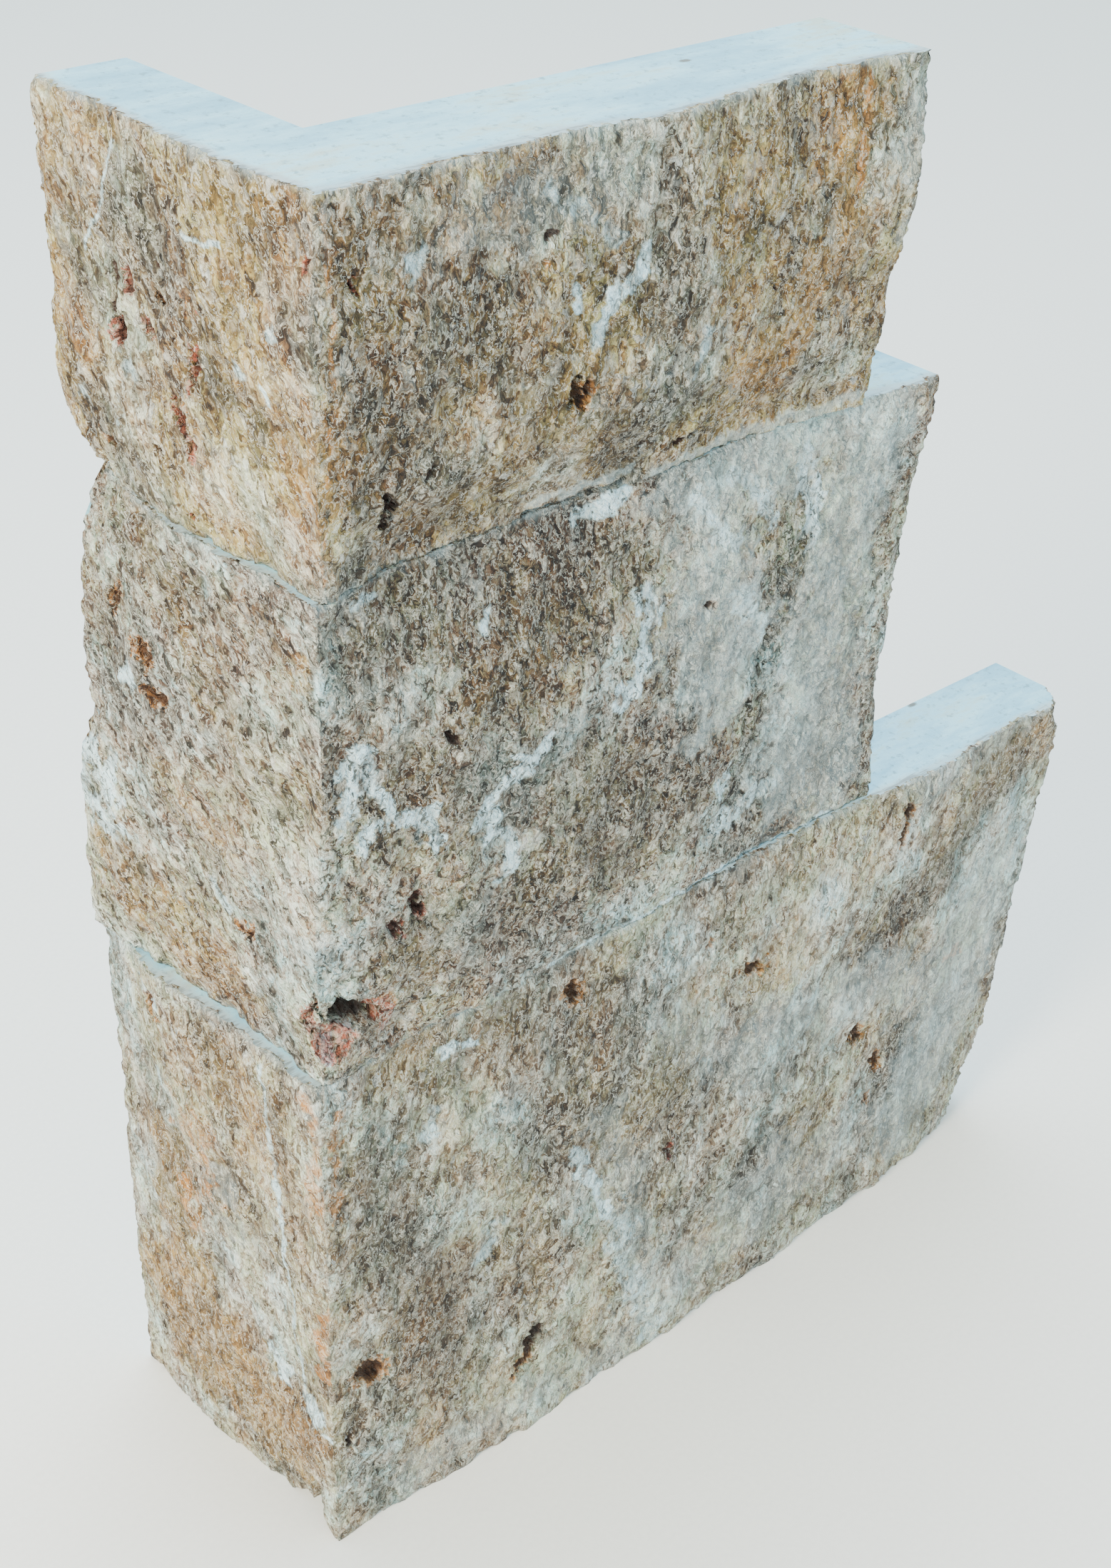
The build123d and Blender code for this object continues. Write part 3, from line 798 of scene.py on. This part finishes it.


# Travertine broken along its bedding. Its calcite crystals and clay seams stand as grains 1 to
# 2 mm across, so the eye gets a dry, matt speckle of grey, tan and white with no gloss. Warm is
# how strongly clay tints it, and the flake shading how strongly a highlight and a shadow are
# painted on its flakes.
def split_travertine(name, lie, grains, warm, flake_shading, colours):
    material, tree = bare_material(name)
    add_node(tree, "place", "ShaderNodeTexCoord")
    # grains lie along the bedding, so they are half as long again up the face as across it
    turned = {"Vector": "place.Object", "Rotation": (lie, 0.1, 0.0), "Scale": (1, 1, 1.5)}
    add_node(tree, "drawn", "ShaderNodeMapping", turned, vector_type="TEXTURE")
    # flakes curl, so the speckle is pushed about by noise 2.4 mm and then 0.8 mm across
    curled = "drawn"
    for scale, push in ((420.0, 0.0034), (1300.0, 0.0010)):
        spread = {"Vector": "drawn", "Scale": scale, "Detail": 2.0, "Roughness": 0.6}
        curl, centred, pushed = (f"{step}_{scale:.0f}" for step in ("curl", "centred", "pushed"))
        add_node(tree, curl, "ShaderNodeTexNoise", spread)
        about_zero = {0: f"{curl}.Color", 1: (0.5, 0.5, 0.5)}
        add_node(tree, centred, "ShaderNodeVectorMath", about_zero, operation="SUBTRACT")
        along = {0: centred, 1: (push,) * 3, 2: curled}
        add_node(tree, pushed, "ShaderNodeVectorMath", along, operation="MULTIPLY_ADD")
        curled = pushed
    # the flakes are read twice, a little apart, to tell the edges that face up and outward, where a
    # highlight is painted, from those where a shadow is painted
    for key, step in (("flake_up", 0.24), ("plate_up", 0.6)):
        apart = {0: curled, 1: (-step * MM, step * MM, 0.8 * step * MM)}
        add_node(tree, f"{key}_place", "ShaderNodeVectorMath", apart, operation="ADD")
    # noise: name, place it reads, size in millimetres, detail and roughness
    noises = (
        ("cloud", "place.Object", 24.0, 4.0, 0.6),
        ("warmth", curled, 15.0, 4.0, 0.52),
        ("blush", "drawn", 9.0, 4.0, 0.55),
        ("patch", curled, 2.8, 6.0, 0.68),
        ("plate", curled, 4.0, 3.0, 0.55),
        ("plate_up", "plate_up_place", 4.0, 3.0, 0.55),
        ("flake", curled, 1.5, 3.0, 0.6),
        ("flake_up", "flake_up_place", 1.5, 3.0, 0.6),
        ("crystal", curled, 0.5, 2.0, 0.7),
    )
    for key, where, size, detail, roughness in noises:
        fine = {"Detail": detail, "Roughness": roughness}
        spread = {"Vector": where, "Scale": 1 / (size * MM), **fine}
        add_node(tree, key, "ShaderNodeTexNoise", spread)
    # single grains are a little under 1 mm across
    add_node(tree, "cells", "ShaderNodeTexVoronoi", {"Vector": curled, "Scale": 1050.0})
    add_node(tree, "cell", "ShaderNodeSeparateColor", {0: "cells.Color"})

    # how far each noise moves the tone, which they leave at one half on average
    weights = (("crystal", 0.6), ("cell.Red", 0.28), ("patch", 0.9), ("cloud", 1.2))
    tone = 0.5 - 0.5 * sum(weight for _, weight in weights)
    for number, (source, weight) in enumerate(weights):
        moved = {0: source, 1: weight, 2: tone}
        tone = f"tone_{number}"
        add_node(tree, tone, "ShaderNodeMath", moved, operation="MULTIPLY_ADD")

    for kind in (*TONES, *STAINS, "hollow", "pit"):
        add_node(tree, kind, "ShaderNodeAttribute", attribute_name=kind)
    # each is value x factor + another value
    sums = (
        ("drift", "patch", 0.9, 0.55),
        ("chance", "patch", 3.2, -0.85),
        ("flake_edge", "flake_up", -1.0, "flake"),
        ("plate_edge", "plate_up", -1.0, "plate"),
        ("flake_line", "flake", 1.0, -0.5),
        ("lip", "patch", 0.5, -0.25),
        ("mouth", "pit.Fac", 1.0, "lip"),
    )
    for key, value, factor, plus in sums:
        added = {0: value, 1: factor, 2: plus}
        add_node(tree, key, "ShaderNodeMath", added, operation="MULTIPLY_ADD")
    add_node(tree, "flake_away", "ShaderNodeMath", {0: "flake_line"}, operation="ABSOLUTE")
    # tones stain the speckle evenly, and stains break up along the grains
    for kind in (*TONES, *STAINS):
        worn = {0: f"{kind}.Fac", 1: "drift" if kind in TONES else "chance"}
        add_node(tree, f"{kind}_laid", "ShaderNodeMath", worn, operation="MULTIPLY")

    add_node(tree, "speckle", "ShaderNodeValToRGB", {0: tone}, stops=grains)
    coats = (
        # clay seams turn some of it ochre, and wash leaves some of it a cold grey
        ("warmth", 0.38, 0.6, warm, "#DFC590", "MULTIPLY"),
        ("warmth", 0.56, 0.7, 0.35 * warm, "#9C7837", "MIX"),
        ("warmth", 0.48, 0.36, 0.65, "#B6CDD8", "MULTIPLY"),
        # iron turns some of it pink, and some of the rest is faintly green
        ("blush", 0.5, 0.6, 0.35, "#EBCDBC", "MULTIPLY"),
        ("blush", 0.6, 0.4, 0.6, "#CFE0D8", "MULTIPLY"),
        # here and there one grain is stained by iron, or is clear calcite
        ("cell.Green", 0.93, 0.98, 0.12, "#98622F", "MIX"),
        ("cell.Blue", 0.93, 0.98, 0.35, "#E8F0F0", "MIX"),
        ("ochre_laid", 0.05, 0.9, 0.95, "#D9B578", "MULTIPLY"),
        ("ochre_laid", 0.45, 1.0, 0.45, "#AD8244", "MIX"),
        # umber is the stone's brown tone, and along creases it is painted shade
        ("umber_laid", 0.05, 0.9, 0.95, "#9E8A7B", "MULTIPLY"),
        ("grey_laid", 0.05, 0.95, 0.85, "#9DA8A4", "MULTIPLY"),
        ("pink_laid", 0.05, 0.95, 0.65, "#EACFC0", "MULTIPLY"),
        ("calcite_laid", 0.05, 0.45, 0.55, "#A9CBD4", "MIX"),
        ("calcite_laid", 0.17, 0.7, 0.9, colours.calcite, "MIX"),
        ("rust_laid", 0.15, 0.6, 0.8, colours.rust, "MIX"),
        ("red_laid", 0.25, 0.7, 0.8, colours.red, "MIX"),
        # painted shade in and round the small dark and grey pits
        ("dark_laid", 0.3, 0.8, 0.7, "#4A3A30", "MIX"),
        # thin flakes stand up: a painted highlight on the edge that faces the light, with a painted
        # shadow along its foot
        ("flake_edge", 0.03, 0.13, 0.55 * flake_shading, "#8E8C82", "SCREEN"),
        ("flake_edge", -0.02, -0.11, 0.5 * flake_shading, "#6A5F54", "MULTIPLY"),
        ("plate_edge", 0.05, 0.14, 0.4 * flake_shading, "#8C8C86", "SCREEN"),
        ("plate_edge", -0.04, -0.13, 0.4 * flake_shading, "#6F665C", "MULTIPLY"),
        ("flake_away", 0.03, 0.004, 0.45, "#E6E4D8", "MIX"),
        ("pale_laid", 0.05, 0.95, 0.46, "#BFCFD0", "MIX"),
        # painted shade in the low spots between flakes and grains
        ("hollow.Fac", 0.5, 1.0, 0.4, "#8E8478", "MULTIPLY"),
        # a pit is a ragged dark mouth of painted shade inside its lining
        ("mouth", 0.43, 0.65, 0.86, "#341C14", "MIX"),
    )
    colour = lay_coats(tree, "speckle", coats)
    heights = (("flake", 3.0, 0.0), ("plate", 3.0, "rise_0"), (tone, 0.6, "rise_1"))
    close_finish(tree, colour, heights, strength=1.0, distance=0.5 * MM, roughness=0.86)
    return material


# Travertine sawn with a diamond blade and left unfilled. It is flat and pale, and its colour is a
# painted reflection of the sky's blue, with faint bands of bedding, hairline blade marks and a few
# open pores.
def sawn_travertine(name, colours):
    material, tree = bare_material(name)
    add_node(tree, "place", "ShaderNodeTexCoord")
    # pattern: name, turn about Z, scale along the three axes, noise scale, detail, roughness.
    # Bands are some 12 mm across, scores 1.1 mm, blade marks 0.7 mm and fine grain 1.7 mm.
    patterns = (
        ("band", 0.5, (0.35, 1.0, 0.8), 85.0, 8.0, 0.68),
        ("score", 0.7, (0.12, 1.0, 1.0), 900.0, 3.0, 0.7),
        ("blade", 0.9, (0.03, 1.0, 1.0), 1400.0, 2.0, 0.5),
        ("fine", 0.0, (1.0, 1.0, 1.0), 600.0, 4.0, 0.7),
    )
    for key, turn, stretch, scale, detail, roughness in patterns:
        lay = {"Vector": "place.Object", "Rotation": (0.0, 0.0, turn), "Scale": stretch}
        add_node(tree, f"{key}_lay", "ShaderNodeMapping", lay)
        fine = {"Detail": detail, "Roughness": roughness}
        spread = {"Vector": f"{key}_lay", "Scale": scale, **fine}
        add_node(tree, key, "ShaderNodeTexNoise", spread)
    # pores about 1 mm across and 9 mm apart, drawn out along the bedding
    lay = {"Vector": "place.Object", "Rotation": (0.0, 0.0, 0.4), "Scale": (0.6, 1.0, 0.8)}
    add_node(tree, "pore_lay", "ShaderNodeMapping", lay)
    add_node(tree, "pore", "ShaderNodeTexVoronoi", {"Vector": "pore_lay", "Scale": 110.0})
    add_node(tree, "rim", "ShaderNodeAttribute", attribute_name="rim")
    sums = (
        ("dusty", "rim.Fac", "band", 0.0),
        ("scored", "rim.Fac", "score", 0.0),
        ("ragged", "fine", 0.12, "pore.Distance"),
    )
    for key, value, factor, plus in sums:
        added = {0: value, 1: factor, 2: plus}
        add_node(tree, key, "ShaderNodeMath", added, operation="MULTIPLY_ADD")
    # the bedding's blues are a painted reflection of the sky
    stops = [(0.34, "#84BAD0"), (0.46, tuple(colours.sawn)), (0.55, "#B0E2F0"), (0.64, "#BED0C8")]
    add_node(tree, "bedding", "ShaderNodeValToRGB", {0: "band"}, stops=stops)
    coats = (
        # the rim by the split face is bruised, dusty and scored
        ("dusty", 0.2, 0.5, 0.85, "#B2BEC0", "MIX"),
        ("scored", 0.42, 0.56, 0.75, "#7A7F80", "MIX"),
        ("fine", 0.53, 0.7, 0.6, "#6C8490", "MIX"),
        # painted shade in the open pores
        ("ragged", 0.16, 0.11, 0.85, "#6E5D4C", "MIX"),
    )
    colour = lay_coats(tree, "bedding", coats)
    heights = (("ragged", 2.0, 0.0), ("blade", 1.0, "rise_0"), ("fine", 1.0, "rise_1"))
    close_finish(tree, colour, heights, strength=0.35, distance=0.2 * MM, roughness=0.7)
    return material


# Pale matt studio paper: no gloss, only a faint tooth about 1 mm across.
def studio_paper():
    material, tree = bare_material("matt_studio_paper")
    add_node(tree, "place", "ShaderNodeTexCoord")
    add_node(tree, "tooth", "ShaderNodeTexNoise", {"Vector": "place.Object", "Scale": 900.0})
    stops = [(0.3, "#FBF4EE"), (0.7, "#FFF8F2")]
    add_node(tree, "tint", "ShaderNodeValToRGB", {0: "tooth"}, stops=stops)
    add_node(tree, "paper", "ShaderNodeBsdfPrincipled", {"Base Color": "tint", "Roughness": 0.95})
    add_node(tree, "output", "ShaderNodeOutputMaterial", {"Surface": "paper"})
    return material


def lay_course(context, course, finish, cuts, grains, warm, flake_shading):
    """One stone in its own split and sawn finishes. Cuts are how finely its cells are cut."""
    name = f"{course}_course_stone"
    colours = context.scene.cladding_colours
    stops = list(zip(GRAIN_STOPS, grains))
    split = split_travertine(f"split_travertine_{finish}", LIE[name], stops, warm, flake_shading, colours)
    sawn = sawn_travertine(f"sawn_travertine_{course}", colours)
    make_stone(context, name, cuts, split, sawn)


class CLADDING_OT_bottom_course(bpy.types.Operator):
    """Build the bottom course: the tallest and longest stone"""

    bl_idname = "cladding.bottom_course"
    bl_label = "Bottom course"

    def execute(self, context):
        grains = ("#3C2B20", "#776555", "#AFA597", "#CCD5CF", "#E4F8FA")
        lay_course(context, "bottom", "tan", cuts=16, grains=grains, warm=0.75, flake_shading=1.35)
        return {"FINISHED"}


class CLADDING_OT_middle_course(bpy.types.Operator):
    """Build the middle course, with the hollow in its outer corner"""

    bl_idname = "cladding.middle_course"
    bl_label = "Middle course"

    def execute(self, context):
        grains = ("#3A281E", "#735B4C", "#A59889", "#C2CEC9", "#DFF8FC")
        lay_course(context, "middle", "grey_brown", cuts=22, grains=grains, warm=0.8, flake_shading=1.9)
        return {"FINISHED"}


class CLADDING_OT_top_course(bpy.types.Operator):
    """Build the top course: the smallest stone"""

    bl_idname = "cladding.top_course"
    bl_label = "Top course"

    def execute(self, context):
        grains = ("#3E2C1C", "#7A644C", "#B1A185", "#D0CFBA", "#F0F8F0")
        lay_course(context, "top", "ochre", cuts=27, grains=grains, warm=1.3, flake_shading=1.45)
        return {"FINISHED"}


class CLADDING_OT_stage(bpy.types.Operator):
    """Lay the floor, hang the soft lights and set the camera"""

    bl_idname = "cladding.stage"
    bl_label = "Stage"

    def execute(self, context):
        scene = context.scene
        stage = scene.cladding_stage
        bm = bmesh.new()
        bmesh.ops.create_grid(bm, x_segments=2, y_segments=2, size=stage.floor_size / 2)
        mesh = bpy.data.meshes.new("floor")
        bm.to_mesh(mesh)
        bm.free()
        mesh.materials.append(studio_paper())
        floor = bpy.data.objects.new("floor", mesh)
        scene.collection.objects.link(floor)

        world = bpy.data.worlds.new("pale_studio")
        scene.world = world
        world.use_nodes = True
        world.node_tree.nodes.clear()
        sky = {"Color": linear("#D4EFF7"), "Strength": stage.sky_strength}
        add_node(world.node_tree, "sky", "ShaderNodeBackground", sky)
        add_node(world.node_tree, "output", "ShaderNodeOutputWorld", {"Surface": "sky"})

        target = Vector((0.03, 0.0, 0.12))
        # lamp: name, place, width, power and colour
        lamps = (
            ("soft_overhead", (0.25, 0.35, 1.0), 0.7, stage.top_power, "#E8F2FF"),
            ("soft_left", (-0.88, -0.2, 0.55), 0.35, stage.side_power, "#FBF0D4"),
        )
        for name, where, size, power, shade in lamps:
            lamp = bpy.data.lights.new(name, "AREA")
            lamp.shape = "DISK"
            lamp.size = size
            lamp.energy = power
            lamp.color = linear(shade)[:3]
            held = bpy.data.objects.new(name, lamp)
            held.location = where
            held.rotation_euler = (target - Vector(where)).to_track_quat("-Z", "Y").to_euler()
            scene.collection.objects.link(held)

        lens = bpy.data.cameras.new("photo_view")
        for setting, value in LENS.items():
            setattr(lens, setting, value)
        camera = bpy.data.objects.new("photo_view", lens)
        camera.location = CAMERA_PLACE
        camera.rotation_euler = [math.radians(turn) for turn in CAMERA_TURN]
        scene.collection.objects.link(camera)
        scene.camera = camera
        return {"FINISHED"}


class CLADDING_PT_corner(bpy.types.Panel):
    """Sizes, colours and builders of the cladding corner"""

    bl_idname = "CLADDING_PT_corner"
    bl_label = "Travertine corner"
    bl_space_type = "VIEW_3D"
    bl_region_type = "UI"
    bl_category = "Cladding"

    def draw(self, context):
        layout = self.layout
        for group in ("cladding_split", "cladding_colours", "cladding_stage"):
            settings = getattr(context.scene, group)
            box = layout.box()
            for name in settings.__annotations__:
                box.prop(settings, name)
        for operator in OPERATORS:
            layout.operator(operator.bl_idname)


OPERATORS = (
    CLADDING_OT_bottom_course,
    CLADDING_OT_middle_course,
    CLADDING_OT_top_course,
    CLADDING_OT_stage,
)
GROUPS = {
    "cladding_split": SplitFaceSettings,
    "cladding_colours": TravertineColours,
    "cladding_stage": StageSettings,
}


def register():
    for name, group in GROUPS.items():
        bpy.utils.register_class(group)
        setattr(bpy.types.Scene, name, PointerProperty(type=group))
    for operator in OPERATORS:
        bpy.utils.register_class(operator)
    bpy.utils.register_class(CLADDING_PT_corner)


def unregister():
    bpy.utils.unregister_class(CLADDING_PT_corner)
    for operator in reversed(OPERATORS):
        bpy.utils.unregister_class(operator)
    for name, group in GROUPS.items():
        delattr(bpy.types.Scene, name)
        bpy.utils.unregister_class(group)


def main():
    """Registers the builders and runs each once."""
    register()
    bpy.ops.cladding.stage()
    bpy.ops.cladding.bottom_course()
    bpy.ops.cladding.middle_course()
    bpy.ops.cladding.top_course()


if __name__ == "__main__":
    main()
